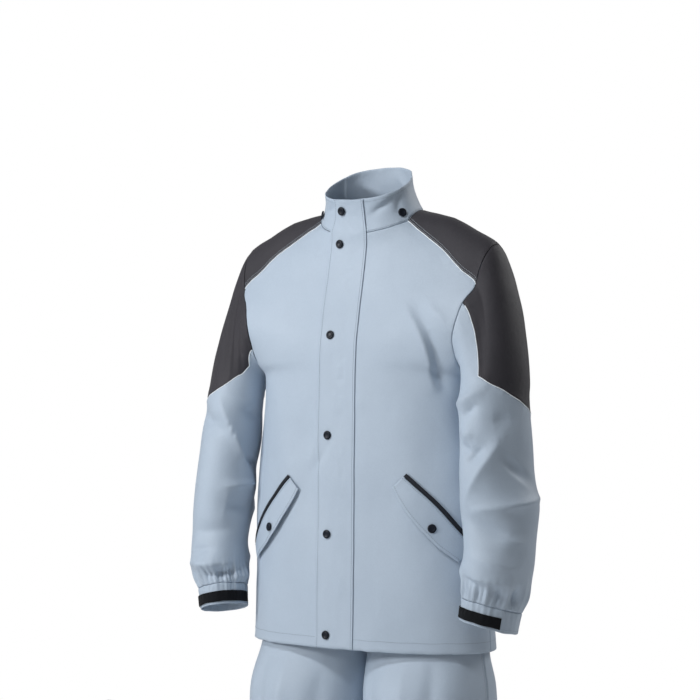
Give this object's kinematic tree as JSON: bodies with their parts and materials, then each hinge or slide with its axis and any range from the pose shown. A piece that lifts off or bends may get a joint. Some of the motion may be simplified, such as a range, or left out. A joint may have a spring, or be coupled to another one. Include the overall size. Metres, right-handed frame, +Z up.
{
  "type": "rain suit, jacket and trousers",
  "caption": "Worn rain suit in its hollow form: snap-front jacket with stand collar, dark shoulder yokes, slanted pockets and strapped cuffs, over straight trousers.",
  "frame": {"origin": "base of the neck at the height of the shoulders' inner ends, where the wearer's shoulders carry the jacket", "axes": "+Z up, the wearer faces -Y, the wearer's left is +X"},
  "size_m": [0.6715, 0.2526, 1.5399],
  "materials": {
    "shell": "coated woven polyester, soft satin",
    "trouser_cloth": "coated woven polyester, soft satin",
    "charcoal": "coated woven polyester, matt",
    "binding": "woven binding tape, matt",
    "webbing": "hook-and-loop tape, matt",
    "snap": "moulded cap, satin"
  },
  "bodies": {
    "root": {"back": "shell", "collar": "shell", "collar_snap_left": "snap", "collar_snap_right": "snap", "cuff_left": "shell", "cuff_right": "shell", "cuff_strap_left": "webbing", "cuff_strap_right": "webbing", "front_left": "shell", "front_right": "shell", "pocket_flap_left": "shell", "pocket_flap_right": "shell", "pocket_snap_left": "snap", "pocket_snap_right": "snap", "pocket_strip_left": "binding", "pocket_strip_right": "binding", "sleeve_left": "shell", "sleeve_panel_left": "charcoal", "sleeve_panel_right": "charcoal", "sleeve_right": "shell", "snap_1": "snap", "snap_2": "snap", "snap_3": "snap", "snap_4": "snap", "snap_5": "snap", "snap_6": "snap", "storm_flap": "shell", "trouser_back_left": "trouser_cloth", "trouser_back_right": "trouser_cloth", "trouser_front_left": "trouser_cloth", "trouser_front_right": "trouser_cloth", "waistband": "trouser_cloth", "yoke_left": "charcoal", "yoke_right": "charcoal"}
  },
  "joints": []
}
